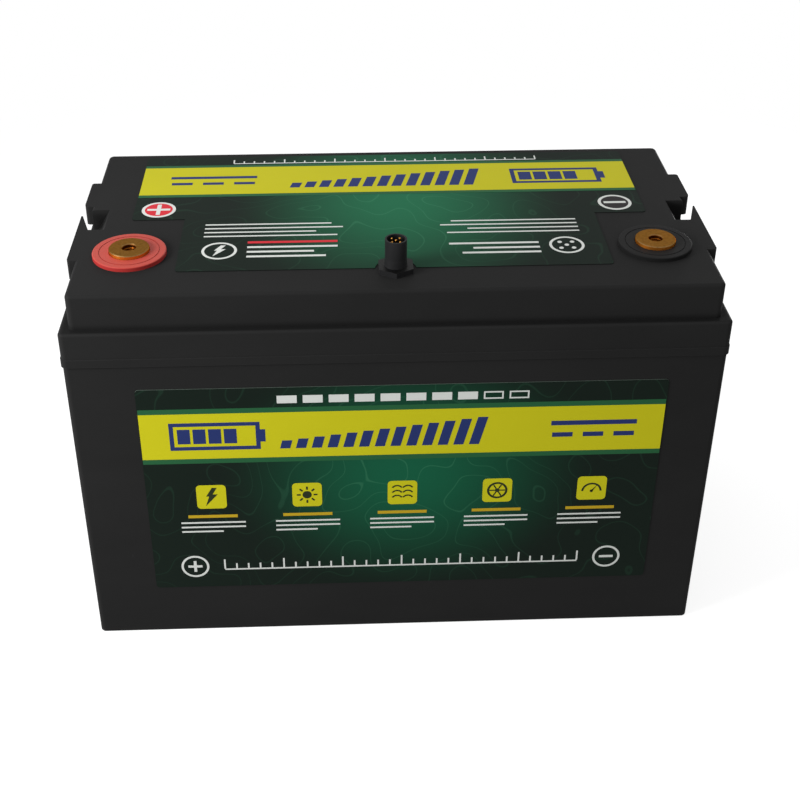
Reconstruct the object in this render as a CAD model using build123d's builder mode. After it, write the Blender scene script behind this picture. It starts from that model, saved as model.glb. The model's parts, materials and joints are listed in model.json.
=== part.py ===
"""Deep cycle battery in a Group 31 size case, built as an assembly of separate pieces.

Frame: X runs along the length, Y towards the back, Z up. The origin is the middle of the underside.
All sizes are in millimetres.
"""
import os
from math import cos, pi, radians, tan

from build123d import *

# Case: a container with a floor, and a stepped lid that closes it.
rim_length = 330.0
container_height = 176.0
rim_height = 19.0
deck_height = 19.0
wall = 3.2
floor_thickness = 3.5
lid_wall = 3.0
container_setback = 0.35
corner_radius = 3.0
inner_corner = 1.5
foot_radius = 1.0
ledge_edge_radius = 1.5
ledge_end = 5.0
ledge_side = 4.0
deck_corner = 3.0
deck_edge_radius = 1.6
bead_height = 4.5
bead_out = 0.4

# Joint between container and lid.
tongue_thickness = 1.2
tongue_height = 3.0
groove_clearance = 0.2
groove_depth = 3.8

# Handle lugs and finger pockets, alike at both ends of the deck.
lug_out = 4.4
lug_height = 11.0
lug_end = 44.9
lug_edge_radius = 1.5
nose_radius = 2.2
pocket_middle = -0.7
pocket_width = 23.2
pocket_depth = 9.8
pocket_height = 15.8
nose_gap = 4.5
hook_length = 16.2
hook_tip = 0.8
hook_root = 1.4

# Terminals: brass posts with a threaded hole, in a polarity ring.
terminal_end_inset = 26.5
terminal_front_inset = 41.9
ring_radius = 18.6
ring_thickness = 2.2
ring_edge_radius = 0.6
ring_groove_radius = 15.4
ring_groove_width = 0.5
ring_groove_depth = 0.25
head_radius = 10.2
head_proud = 1.9
head_chamfer = 0.4
shank_radius = 6.0
shank_length = 18.0
thread_radius = 3.4
thread_depth = 15.0
thread_mouth = 0.5
boss_radius = 13.0
boss_drop = 4.0
hole_clearance = 0.2
gasket_radius = 8.4
gasket_height = 1.2
terminal_nut_across = 19.0
terminal_nut_height = 7.0
thread_clearance = 0.05

# Data connector on the lid.
connector_front_inset = 21.2
connector_height = 17.1
flange_across = 17.0
flange_height = 2.75
barrel_base_radius = 5.9
barrel_radius = 5.45
barrel_cone_height = 7.1
bore_radius = 4.6
stem_radius = 5.6
stem_length = 16.0
connector_gasket_radius = 7.4
connector_nut_across = 16.0
connector_nut_height = 4.0
insert_stand = 7.0
pin_radius = 0.55
pin_tip_radius = 0.45
pin_spacing = 4.0
pin_depth = 0.5
pin_tail = 2.0
key_width = 1.2
key_depth = 0.7
key_angle = -50.0
key_drop = 1.2

# Printed films.
film_thickness = 0.3
film_corner = 2.0
front_label_length = 267.5
front_label_height = 130.0
front_label_x = 3.0
front_label_drop = 14.0
top_label_end_margin = 23.1
top_label_back_margin = 5.4
top_label_ring_gap = 18.9
tongue_ring_gap = 5.85
tongue_front_margin = 22.4
film_clearance = 0.5

# Cells.
cell_count = 4
cell_thickness = 50.0
cell_width = 160.0
cell_height = 118.0
can_wall = 0.8
can_corner = 2.0
cell_lid_thickness = 2.0
fit_clearance = 0.05
core_clearance = 0.4
core_headroom = 4.0
vent_radius = 7.0
vent_hole_radius = 6.0
vent_thickness = 0.4
sheet_thickness = 1.0
post_offset = 57.0
post_neck_radius = 4.8
post_hole_clearance = 0.2
post_flange_radius = 9.0
post_flange_height = 3.0
post_gasket_radius = 10.0
post_gasket_height = 1.0
stud_radius = 3.0
stud_length = 12.0

# Clamping and packing of the cell stack.
base_pad_thickness = 3.0
end_plate_thickness = 4.0
end_plate_height = 112.0
strap_thickness = 0.5
strap_width = 16.0
strap_bend = 3.0
strap_heights = (25.0, 80.0)
packing_clearance = 0.2
side_pad_length = 200.0
side_pad_thickness = 1.7
side_pad_height = 106.0
top_foam_length = 70.0
top_foam_depth = 34.0

# Busbars, nuts and the sensing circuit.
busbar_thickness = 2.0
busbar_width = 20.0
busbar_end = 10.0
busbar_corner = 4.0
stud_hole_clearance = 0.2
nut_across = 10.0
nut_height = 5.0
nut_flange_radius = 6.5
nut_flange_height = 1.0
circuit_thickness = 0.4
circuit_length = 200.0
circuit_inner = 20.0
circuit_outer = 40.0
circuit_header = (10.0, 12.0, 6.0)
tab_thickness = 0.3
tab_width = 8.0
tab_overlap = 2.0
tab_reach = 4.75
tab_gap = 1.0

# Battery management system.
tray_length = 196.0
tray_width = 90.0
tray_thickness = 2.0
tray_lift = 9.5
tray_leg = (8.0, 6.0)
tray_leg_y = 13.0
standoff_height = 5.0
standoff_radius = 3.5
board_length = 164.0
board_width = 84.0
board_thickness = 1.6
board_screw_inset = 5.0
screw_radius = 1.5
screw_head_radius = 2.8
screw_head_height = 1.8
power_pad_inset = 10.0
power_pad_y = (-4.0, 24.0)
power_boss_radius = 6.5
power_head_height = 4.0
board_header = (8.0, 12.0, 6.0)
transistor = (9.0, 10.0, 4.5)
transistor_columns = 8
transistor_rows = 2
transistor_pitch = 12.0
transistor_row_gap = 24.0
power_stage_y = 12.0
sink_length = 100.0
sink_depth = 44.0
sink_base = 4.0
sink_height = 14.0
fin_count = 8
fin_thickness = 2.0
shunt = (2.5, 14.0, 6.0)
shunt_wire = 1.5
shunt_pitch = 8.0
shunt_count = 3
shunt_x = 44.0
shunt_y = -29.0
comms_board_length = 44.0
comms_board_depth = 24.0
comms_board_y = -29.0
comms_spacer = (30.0, 8.0, 8.0)
comms_plug = (14.0, 10.0, 8.0)

# Cables and their lugs.
cable_radius = 4.2
lug_plate = 2.0
lug_barrel_radius = 5.4
lug_barrel_length = 16.0
lug_insertion = 12.0
stud_eye_radius = 10.0
terminal_eye_radius = 12.0
cable_bends = (26.0, 26.0)
positive_cable_bends = (26.0, 33.0, 27.0)
cable_turn_y = 16.0
end_run_share = 0.95
comms_cable_radius = 2.5
comms_cable_bend = 15.0
balance_cable_radius = 1.4
balance_cable_bend = 8.8

# Levels and places that follow from the sizes above.
ledge_z = container_height + rim_height
deck_z = ledge_z + deck_height
container_length = rim_length - 2 * container_setback
inner_length = container_length - 2 * wall
strap_clearance = fit_clearance
packed_side = strap_clearance + strap_thickness + side_pad_thickness + packing_clearance
inner_width = cell_width + 2 * packed_side
container_width = inner_width + 2 * wall
rim_width = container_width + 2 * container_setback
deck_length = rim_length - 2 * ledge_end
deck_width = rim_width - 2 * ledge_side
deck_end = deck_length / 2
deck_front = -deck_width / 2
deck_back = deck_width / 2
roof_z = deck_z - lid_wall
boss_z = roof_z - boss_drop
pocket_front = pocket_middle - pocket_width / 2
pocket_back = pocket_middle + pocket_width / 2
terminal_x = deck_end - terminal_end_inset
terminal_y = deck_front + terminal_front_inset
terminals = {"positive": (-terminal_x, terminal_y), "negative": (terminal_x, terminal_y)}
connector_y = deck_front + connector_front_inset
front_label_z = container_height - front_label_drop - front_label_height / 2
top_label_length = deck_length - 2 * top_label_end_margin
top_label_back = deck_back - top_label_back_margin
top_label_front = terminal_y + ring_radius + top_label_ring_gap
tongue_length = 2 * (terminal_x - ring_radius - tongue_ring_gap)
tongue_front = deck_front + tongue_front_margin
cell_base = floor_thickness + base_pad_thickness
cell_top = cell_base + cell_height
cell_pitch = cell_thickness + sheet_thickness
cell_centres = [cell_pitch * (i - (cell_count - 1) / 2) for i in range(cell_count)]
stack_end = (cell_count * cell_pitch + sheet_thickness) / 2
clamp_end = stack_end + end_plate_thickness
core_top = cell_top - core_headroom - cell_lid_thickness
post_top = cell_top + post_gasket_height + post_flange_height
positive_sides = [-1 if i % 2 == 0 else 1 for i in range(cell_count)]
positive_posts = [(x, side * post_offset) for x, side in zip(cell_centres, positive_sides)]
negative_posts = [(x, -side * post_offset) for x, side in zip(cell_centres, positive_sides)]
tray_top = cell_top + tray_lift + tray_thickness
board_top = tray_top + standoff_height + board_thickness
board_screws = [
    (x * (board_length / 2 - board_screw_inset), y * (board_width / 2 - board_screw_inset))
    for x in (-1, 1) for y in (-1, 1)
]
power_pads = [(board_length / 2 - power_pad_inset, y) for y in power_pad_y]
sink_top = board_top + transistor[2] + sink_height
barrel_above_posts = post_top + lug_barrel_radius
barrel_above_board = board_top + lug_barrel_radius
barrel_under_boss = boss_z - lug_barrel_radius

pieces = {}


# ---------------------------------------------------------------- container and lid

def ring_sketch(plane, outer, inner):
    """Closed ring between two rounded rectangles, each given as length, width and corner radius."""
    with BuildSketch(plane) as ring:
        RectangleRounded(*outer)
        RectangleRounded(*inner, mode=Mode.SUBTRACT)
    return ring.sketch


tongue_inset = (wall - tongue_thickness) / 2


def joint_ring(z, clearance):
    """Section of the tongue, or of its groove when it has a clearance, at height z."""
    outside = tongue_inset - clearance
    inside = tongue_inset + tongue_thickness + clearance
    return ring_sketch(
        Plane.XY.offset(z),
        (container_length - 2 * outside, container_width - 2 * outside, corner_radius),
        (container_length - 2 * inside, container_width - 2 * inside, inner_corner),
    )


with BuildPart() as container:
    with BuildSketch(Plane.XY):
        RectangleRounded(container_length, container_width, corner_radius)
    extrude(amount=container_height)
    fillet(container.edges().group_by(Axis.Z)[0], radius=foot_radius)
    with BuildSketch(Plane.XY.offset(floor_thickness)):
        RectangleRounded(inner_length, inner_width, inner_corner)
    extrude(amount=container_height - floor_thickness, mode=Mode.SUBTRACT)
    extrude(joint_ring(container_height, 0.0), amount=tongue_height)
pieces["container"] = container

with BuildPart() as handle_lugs:
    lug_foot = Plane.XY.offset(deck_z - lug_height)
    lug_root = deck_end - deck_edge_radius - fit_clearance
    lug_tip = deck_end + lug_out
    nose_y = pocket_back + nose_gap
    rear_y = pocket_middle + lug_end
    front_y = pocket_middle - lug_end
    with BuildSketch(lug_foot):
        with Locations(((lug_root + lug_tip) / 2, (nose_y + rear_y) / 2)):
            Rectangle(lug_tip - lug_root, rear_y - nose_y)
    extrude(amount=lug_height)
    rear_lug_corner = handle_lugs.edges().filter_by(Axis.Z).group_by(Axis.X)[-1].sort_by(Axis.Y)[-1]
    fillet(rear_lug_corner, radius=lug_edge_radius)
    nose_corner = handle_lugs.edges().filter_by(Axis.Z).group_by(Axis.X)[-1].sort_by(Axis.Y)[0]
    fillet(nose_corner, radius=nose_radius)
    with BuildSketch(lug_foot):
        with BuildLine():
            Polyline(
                (lug_root, front_y),
                (lug_tip, front_y),
                (lug_tip, pocket_front + hook_length),
                (lug_tip - hook_tip, pocket_front + hook_length),
                (deck_end - hook_root, pocket_front),
                (lug_root, pocket_front),
                close=True,
            )
        make_face()
    extrude(amount=lug_height)
    front_lug_corner = handle_lugs.edges().filter_by(Axis.Z).group_by(Axis.Y)[0].sort_by(Axis.X)[-1]
    fillet(front_lug_corner, radius=lug_edge_radius)
    mirror(about=Plane.YZ)

with BuildPart() as pocket_cutter:
    with BuildSketch(Plane.XZ.offset(-pocket_back)):
        with BuildLine():
            Polyline(
                (deck_end - pocket_depth, deck_z),
                (deck_end - pocket_depth, deck_z + lid_wall),
                (deck_end + lid_wall, deck_z + lid_wall),
                (deck_end + lid_wall, deck_z - pocket_height),
                (deck_end, deck_z - pocket_height),
                close=True,
            )
        make_face()
    extrude(amount=pocket_width)
    mirror(about=Plane.YZ)

with BuildPart() as lid:
    with BuildSketch(Plane.XY.offset(container_height)):
        RectangleRounded(rim_length, rim_width, corner_radius)
    extrude(amount=rim_height)
    fillet(lid.edges().group_by(Axis.Z)[-1], radius=ledge_edge_radius)
    with BuildSketch(Plane.XY.offset(ledge_z)):
        RectangleRounded(deck_length, deck_width, deck_corner)
    extrude(amount=deck_height)
    fillet(lid.edges().group_by(Axis.Z)[-1], radius=deck_edge_radius)
    with BuildSketch(Plane.XY.offset(container_height)):
        RectangleRounded(rim_length + 2 * bead_out, rim_width + 2 * bead_out, corner_radius + bead_out)
    extrude(amount=bead_height)
    # Hollow of the skirt, then of the deck, which keeps a wall round each finger pocket.
    with BuildSketch(Plane.XY.offset(container_height)):
        RectangleRounded(inner_length, inner_width, inner_corner)
    extrude(amount=rim_height - lid_wall, mode=Mode.SUBTRACT)
    with BuildSketch(Plane.XY.offset(ledge_z - lid_wall)):
        RectangleRounded(deck_length - 2 * lid_wall, deck_width - 2 * lid_wall, inner_corner)
        with Locations((-deck_end, pocket_middle), (deck_end, pocket_middle)):
            Rectangle(2 * (pocket_depth + lid_wall), pocket_width + 2 * lid_wall, mode=Mode.SUBTRACT)
    extrude(amount=deck_height, mode=Mode.SUBTRACT)
    extrude(joint_ring(container_height, groove_clearance), amount=groove_depth, mode=Mode.SUBTRACT)
    add(pocket_cutter.part, mode=Mode.SUBTRACT)
    add(handle_lugs.part)
    # Terminal bosses under the roof, their holes and gasket seats, and the connector's.
    with BuildSketch(Plane.XY.offset(boss_z)):
        with Locations(*terminals.values()):
            Circle(boss_radius)
    extrude(amount=boss_drop + lid_wall - gasket_height)
    with BuildSketch(Plane.XY.offset(boss_z)):
        with Locations(*terminals.values()):
            Circle(shank_radius + hole_clearance)
        with Locations((0, connector_y)):
            Circle(stem_radius + hole_clearance)
    extrude(amount=boss_drop + lid_wall, mode=Mode.SUBTRACT)
    with BuildSketch(Plane.XY.offset(deck_z - gasket_height)):
        with Locations(*terminals.values()):
            Circle(gasket_radius)
        with Locations((0, connector_y)):
            Circle(connector_gasket_radius)
    extrude(amount=gasket_height, mode=Mode.SUBTRACT)
pieces["lid"] = lid

with BuildPart() as lid_seal:
    extrude(joint_ring(container_height + tongue_height, 0.0), amount=groove_depth - tongue_height)
pieces["lid_seal"] = lid_seal


# ---------------------------------------------------------------- terminals

for polarity, place in terminals.items():
    with BuildPart() as terminal:
        with BuildSketch(Plane.XY.offset(deck_z - shank_length)):
            with Locations(place):
                Circle(shank_radius)
        extrude(amount=shank_length)
        with BuildSketch(Plane.XY.offset(deck_z)):
            with Locations(place):
                Circle(head_radius)
        extrude(amount=ring_thickness + head_proud)
        chamfer(terminal.edges().group_by(Axis.Z)[-1], length=head_chamfer)
        with BuildSketch(Plane.XY.offset(deck_z + ring_thickness + head_proud)):
            with Locations(place):
                Circle(thread_radius)
        extrude(amount=-thread_depth, mode=Mode.SUBTRACT)
        mouth = terminal.edges().group_by(Axis.Z)[-1].sort_by(SortBy.LENGTH)[0]
        chamfer(mouth, length=thread_mouth)
    pieces[f"{polarity}_terminal"] = terminal

    with BuildPart() as polarity_ring:
        with BuildSketch(Plane.XY.offset(deck_z)):
            with Locations(place):
                Circle(ring_radius)
                Circle(head_radius + hole_clearance, mode=Mode.SUBTRACT)
        extrude(amount=ring_thickness)
        rim = polarity_ring.edges().group_by(Axis.Z)[-1].sort_by(SortBy.LENGTH)[-1]
        fillet(rim, radius=ring_edge_radius)
        with BuildSketch(Plane.XY.offset(deck_z + ring_thickness)):
            with Locations(place):
                Circle(ring_groove_radius)
                Circle(ring_groove_radius - ring_groove_width, mode=Mode.SUBTRACT)
        extrude(amount=-ring_groove_depth, mode=Mode.SUBTRACT)
    pieces[f"{polarity}_ring"] = polarity_ring

with BuildPart() as terminal_gaskets:
    with BuildSketch(Plane.XY.offset(deck_z - gasket_height)):
        with Locations(*terminals.values()):
            Circle(gasket_radius - fit_clearance)
            Circle(shank_radius + fit_clearance, mode=Mode.SUBTRACT)
    extrude(amount=gasket_height)
pieces["terminal_gaskets"] = terminal_gaskets

with BuildPart() as terminal_nuts:
    with BuildSketch(Plane.XY.offset(boss_z - lug_plate - terminal_nut_height)):
        with Locations(*terminals.values()):
            RegularPolygon(terminal_nut_across / 2, 6, major_radius=False)
            Circle(shank_radius + thread_clearance, mode=Mode.SUBTRACT)
    extrude(amount=terminal_nut_height)
pieces["terminal_nuts"] = terminal_nuts


# ---------------------------------------------------------------- data connector

stem_z = deck_z - stem_length

with BuildPart() as connector_shell:
    with BuildSketch(Plane.XY.offset(deck_z)):
        with Locations((0, connector_y)):
            RegularPolygon(flange_across / 2, 6, major_radius=False, rotation=30)
    extrude(amount=flange_height)
    with Locations((0, connector_y, deck_z)):
        Cone(
            barrel_base_radius, barrel_radius, barrel_cone_height,
            align=(Align.CENTER, Align.CENTER, Align.MIN),
        )
    with BuildSketch(Plane.XY.offset(deck_z + barrel_cone_height)):
        with Locations((0, connector_y)):
            Circle(barrel_radius)
    extrude(amount=connector_height - barrel_cone_height)
    with BuildSketch(Plane.XY.offset(stem_z)):
        with Locations((0, connector_y)):
            Circle(stem_radius)
    extrude(amount=stem_length)
    with BuildSketch(Plane.XY.offset(stem_z)):
        with Locations((0, connector_y)):
            Circle(bore_radius)
    extrude(amount=stem_length + connector_height, mode=Mode.SUBTRACT)
    with BuildSketch(Plane.XY.offset(deck_z + insert_stand)):
        with Locations(Location((0, connector_y), key_angle)):
            with Locations((bore_radius, 0)):
                Rectangle(2 * key_depth, key_width)
        with Locations((0, connector_y)):
            Circle(bore_radius + fit_clearance, mode=Mode.INTERSECT)
    extrude(amount=connector_height - insert_stand - key_drop)
pieces["connector_shell"] = connector_shell

pin_places = [(0, 0)] + [(x * pin_spacing / 2, y * pin_spacing / 2) for x in (-1, 1) for y in (-1, 1)]
pin_centres = [(x, y + connector_y) for x, y in pin_places]

with BuildPart() as connector_insert:
    with BuildSketch(Plane.XY.offset(stem_z)):
        with Locations((0, connector_y)):
            Circle(bore_radius - fit_clearance)
        with Locations(*pin_centres):
            Circle(pin_radius + fit_clearance, mode=Mode.SUBTRACT)
    extrude(amount=stem_length + insert_stand)
pieces["connector_insert"] = connector_insert

with BuildPart() as connector_pins:
    with BuildSketch(Plane.XY.offset(stem_z + pin_tail)):
        with Locations(*pin_centres):
            Circle(pin_radius)
    extrude(amount=stem_length + connector_height - pin_tail - pin_depth)
    fillet(connector_pins.edges().group_by(Axis.Z)[-1], radius=pin_tip_radius)
pieces["connector_pins"] = connector_pins

with BuildPart() as connector_gasket:
    with BuildSketch(Plane.XY.offset(deck_z - gasket_height)):
        with Locations((0, connector_y)):
            Circle(connector_gasket_radius - fit_clearance)
            Circle(stem_radius + fit_clearance, mode=Mode.SUBTRACT)
    extrude(amount=gasket_height)
pieces["connector_gasket"] = connector_gasket

with BuildPart() as connector_nut:
    with BuildSketch(Plane.XY.offset(roof_z - connector_nut_height)):
        with Locations((0, connector_y)):
            RegularPolygon(connector_nut_across / 2, 6, major_radius=False)
            Circle(stem_radius + thread_clearance, mode=Mode.SUBTRACT)
    extrude(amount=connector_nut_height)
pieces["connector_nut"] = connector_nut


# ---------------------------------------------------------------- printed films

with BuildPart() as front_label:
    with BuildSketch(Plane.XZ.offset(container_width / 2)):
        with Locations((front_label_x, front_label_z)):
            RectangleRounded(front_label_length, front_label_height, film_corner)
    extrude(amount=film_thickness)
pieces["front_label"] = front_label

with BuildPart() as top_label:
    with BuildSketch(Plane.XY.offset(deck_z)):
        with Locations((0, (top_label_back + top_label_front) / 2)):
            RectangleRounded(top_label_length, top_label_back - top_label_front, film_corner)
        tongue_back = top_label_front + film_corner
        with Locations((0, (tongue_back + tongue_front) / 2)):
            RectangleRounded(tongue_length, tongue_back - tongue_front, film_corner)
        with Locations((0, connector_y)):
            Circle(flange_across / 2 / cos(pi / 6) + film_clearance, mode=Mode.SUBTRACT)
    extrude(amount=film_thickness)
pieces["top_label"] = top_label


# ---------------------------------------------------------------- cells

for number, x in enumerate(cell_centres, start=1):
    with BuildPart() as cell_can:
        with BuildSketch(Plane.XY.offset(cell_base)):
            with Locations((x, 0)):
                RectangleRounded(cell_thickness, cell_width, can_corner)
        extrude(amount=cell_height)
        with BuildSketch(Plane.XY.offset(cell_base + can_wall)):
            with Locations((x, 0)):
                RectangleRounded(
                    cell_thickness - 2 * can_wall, cell_width - 2 * can_wall, can_corner - can_wall
                )
        extrude(amount=cell_height, mode=Mode.SUBTRACT)
    pieces[f"cell_can_{number}"] = cell_can

    with BuildPart() as cell_lid:
        with BuildSketch(Plane.XY.offset(cell_top - cell_lid_thickness)):
            with Locations((x, 0)):
                RectangleRounded(
                    cell_thickness - 2 * can_wall - 2 * fit_clearance,
                    cell_width - 2 * can_wall - 2 * fit_clearance,
                    can_corner - can_wall,
                )
                Circle(vent_hole_radius, mode=Mode.SUBTRACT)
            with Locations((x, -post_offset), (x, post_offset)):
                Circle(post_neck_radius + post_hole_clearance, mode=Mode.SUBTRACT)
        extrude(amount=cell_lid_thickness)
    pieces[f"cell_lid_{number}"] = cell_lid

    with BuildPart() as cell_core:
        core_margin = can_wall + core_clearance
        with BuildSketch(Plane.XY.offset(cell_base + can_wall)):
            with Locations((x, 0)):
                RectangleRounded(
                    cell_thickness - 2 * core_margin, cell_width - 2 * core_margin, can_corner
                )
        extrude(amount=core_top - cell_base - can_wall)
    pieces[f"cell_core_{number}"] = cell_core


def post_group(places):
    """Threaded terminal posts of the cells: neck through the lid, flange and stud."""
    sections = (
        (core_top, post_neck_radius, post_top - core_top),
        (post_top - post_flange_height, post_flange_radius, post_flange_height),
        (post_top, stud_radius, stud_length),
    )
    with BuildPart() as posts:
        for base, radius, height in sections:
            with BuildSketch(Plane.XY.offset(base)):
                with Locations(*places):
                    Circle(radius)
            extrude(amount=height)
    return posts


pieces["cell_positive_posts"] = post_group(positive_posts)
pieces["cell_negative_posts"] = post_group(negative_posts)

with BuildPart() as cell_post_gaskets:
    with BuildSketch(Plane.XY.offset(cell_top)):
        with Locations(*positive_posts, *negative_posts):
            Circle(post_gasket_radius)
            Circle(post_neck_radius + post_hole_clearance, mode=Mode.SUBTRACT)
    extrude(amount=post_gasket_height)
pieces["cell_post_gaskets"] = cell_post_gaskets

with BuildPart() as cell_vents:
    with BuildSketch(Plane.XY.offset(cell_top)):
        with Locations(*[(x, 0) for x in cell_centres]):
            Circle(vent_radius)
    extrude(amount=vent_thickness)
pieces["cell_vents"] = cell_vents

with BuildPart() as cell_insulators:
    with BuildSketch(Plane.XY.offset(cell_base)):
        with Locations(*[(cell_pitch * (i - cell_count / 2), 0) for i in range(cell_count + 1)]):
            Rectangle(sheet_thickness, cell_width)
    extrude(amount=cell_height)
pieces["cell_insulators"] = cell_insulators


# ---------------------------------------------------------------- clamp and packing

with BuildPart() as base_pad:
    with BuildSketch(Plane.XY.offset(floor_thickness)):
        Rectangle(2 * clamp_end, cell_width)
    extrude(amount=base_pad_thickness)
pieces["base_pad"] = base_pad

for name, side in (("left", -1), ("right", 1)):
    with BuildPart() as end_plate:
        with BuildSketch(Plane.XY.offset(cell_base)):
            with Locations((side * (stack_end + end_plate_thickness / 2), 0)):
                Rectangle(end_plate_thickness, cell_width)
        extrude(amount=end_plate_height)
        outer_corners = end_plate.edges().filter_by(Axis.Z).sort_by(Axis.X)[::side][2:]
        fillet(outer_corners, radius=strap_bend)
    pieces[f"end_plate_{name}"] = end_plate

strap_inner = (2 * (clamp_end + strap_clearance), cell_width + 2 * strap_clearance)
strap_outer = tuple(size + 2 * strap_thickness for size in strap_inner)
for name, height in zip(("lower", "upper"), strap_heights):
    with BuildPart() as strap:
        strap_section = ring_sketch(
            Plane.XY.offset(cell_base + height),
            (*strap_outer, strap_bend + strap_thickness),
            (*strap_inner, strap_bend),
        )
        extrude(strap_section, amount=strap_width)
    pieces[f"strap_{name}"] = strap

foam_start = strap_outer[0] / 2
foam_end = inner_length / 2 - packing_clearance
for name, side in (("left", -1), ("right", 1)):
    with BuildPart() as foam_block:
        with BuildSketch(Plane.XY.offset(floor_thickness)):
            with Locations((side * (foam_start + foam_end) / 2, 0)):
                Rectangle(foam_end - foam_start, cell_width)
        extrude(amount=cell_top - floor_thickness)
    pieces[f"foam_block_{name}"] = foam_block

pad_middle = (strap_outer[1] + side_pad_thickness) / 2
with BuildPart() as side_pads:
    with BuildSketch(Plane.XY.offset(floor_thickness)):
        with Locations((0, -pad_middle), (0, pad_middle)):
            Rectangle(side_pad_length, side_pad_thickness)
    extrude(amount=side_pad_height)
pieces["side_pads"] = side_pads

with BuildPart() as top_foam:
    with BuildSketch(Plane.XY.offset(sink_top)):
        with Locations((0, power_stage_y)):
            Rectangle(top_foam_length, top_foam_depth)
    extrude(amount=roof_z - packing_clearance - sink_top)
pieces["top_foam"] = top_foam


# ---------------------------------------------------------------- busbars and sensing

busbar_middles = []
for first in range(cell_count - 1):
    side = -positive_sides[first]
    middle = ((cell_centres[first] + cell_centres[first + 1]) / 2, side * post_offset)
    busbar_middles.append(middle)
    with BuildPart() as busbar:
        with BuildSketch(Plane.XY.offset(post_top)):
            with Locations(middle):
                RectangleRounded(cell_pitch + 2 * busbar_end, busbar_width, busbar_corner)
                with GridLocations(cell_pitch, 0, 2, 1):
                    Circle(stud_radius + stud_hole_clearance, mode=Mode.SUBTRACT)
        extrude(amount=busbar_thickness)
    pieces[f"busbar_{first + 1}_{first + 2}"] = busbar

lug_posts = (positive_posts[0], negative_posts[-1])
joined_posts = [place for place in positive_posts + negative_posts if place not in lug_posts]
with BuildPart() as cell_nuts:
    for places, seat in ((joined_posts, post_top + busbar_thickness), (lug_posts, post_top + lug_plate)):
        with BuildSketch(Plane.XY.offset(seat)):
            with Locations(*places):
                Circle(nut_flange_radius)
        extrude(amount=nut_flange_height)
        with BuildSketch(Plane.XY.offset(seat)):
            with Locations(*places):
                RegularPolygon(nut_across / 2, 6, major_radius=False)
        extrude(amount=nut_flange_height + nut_height)
        with BuildSketch(Plane.XY.offset(seat)):
            with Locations(*places):
                Circle(stud_radius + thread_clearance)
        extrude(amount=nut_flange_height + nut_height, mode=Mode.SUBTRACT)
pieces["cell_nuts"] = cell_nuts

circuit_top = cell_top + circuit_thickness
circuit_end = -circuit_length / 2
strip_width = circuit_outer - circuit_inner
strip_middle = (circuit_outer + circuit_inner) / 2
tab_riser = post_offset - busbar_width / 2 - tab_gap
tab_places = [(x, y, post_top + busbar_thickness) for x, y in busbar_middles]
tab_places += [(x, y, post_top + lug_plate) for x, y in lug_posts]

with BuildPart() as sense_circuit:
    with BuildSketch(Plane.XY.offset(cell_top)):
        with Locations((0, -strip_middle), (0, strip_middle)):
            Rectangle(circuit_length, strip_width)
        with Locations((circuit_end + circuit_header[0] / 2, 0)):
            Rectangle(circuit_header[0], 2 * circuit_outer)
    extrude(amount=circuit_thickness)
    with BuildSketch(Plane.XY.offset(circuit_top)):
        with Locations((circuit_end + circuit_header[0] / 2, 0)):
            Rectangle(circuit_header[0], circuit_header[1])
    extrude(amount=circuit_header[2])
    for x, y, seat in tab_places:
        side = 1 if y > 0 else -1
        with BuildSketch(Plane.YZ.offset(x - tab_width / 2)):
            with BuildLine():
                Polyline(
                    (side * (circuit_outer - tab_overlap), circuit_top),
                    (side * tab_riser, circuit_top),
                    (side * tab_riser, seat),
                    (side * (tab_riser - tab_gap + tab_reach), seat),
                    (side * (tab_riser - tab_gap + tab_reach), seat + tab_thickness),
                    (side * (tab_riser - tab_thickness), seat + tab_thickness),
                    (side * (tab_riser - tab_thickness), circuit_top + tab_thickness),
                    (side * (circuit_outer - tab_overlap), circuit_top + tab_thickness),
                    close=True,
                )
            make_face()
        extrude(amount=tab_width)
pieces["sense_circuit"] = sense_circuit


# ---------------------------------------------------------------- battery management system

leg_places = [(x, y * tray_leg_y) for x in (cell_centres[0], cell_centres[-1]) for y in (-1, 1)]
with BuildPart() as bms_tray:
    with BuildSketch(Plane.XY.offset(cell_top + tray_lift)):
        Rectangle(tray_length, tray_width)
    extrude(amount=tray_thickness)
    with BuildSketch(Plane.XY.offset(cell_top)):
        with Locations(*leg_places):
            Rectangle(*tray_leg)
    extrude(amount=tray_lift)
    with BuildSketch(Plane.XY.offset(tray_top)):
        with Locations(*board_screws):
            Circle(standoff_radius)
        with Locations(*power_pads):
            Circle(power_boss_radius)
    extrude(amount=standoff_height)
    with BuildSketch(Plane.XY.offset(tray_top)):
        with Locations(*board_screws):
            Circle(screw_radius + thread_clearance)
        with Locations(*power_pads):
            Circle(stud_radius + thread_clearance)
    extrude(amount=standoff_height, mode=Mode.SUBTRACT)
pieces["bms_tray"] = bms_tray

with BuildPart() as bms_board:
    with BuildSketch(Plane.XY.offset(board_top - board_thickness)):
        Rectangle(board_length, board_width)
        with Locations(*board_screws):
            Circle(screw_radius + hole_clearance, mode=Mode.SUBTRACT)
        with Locations(*power_pads):
            Circle(stud_radius + hole_clearance, mode=Mode.SUBTRACT)
    extrude(amount=board_thickness)
    with BuildSketch(Plane.XY.offset(board_top)):
        with Locations(((board_header[0] - board_length) / 2, 0)):
            Rectangle(board_header[0], board_header[1])
    extrude(amount=board_header[2])
pieces["bms_board"] = bms_board

with BuildPart() as bms_transistors:
    with BuildSketch(Plane.XY.offset(board_top)):
        with Locations((0, power_stage_y)):
            with GridLocations(transistor_pitch, transistor_row_gap, transistor_columns, transistor_rows):
                Rectangle(transistor[0], transistor[1])
    extrude(amount=transistor[2])
pieces["bms_transistors"] = bms_transistors

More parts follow.
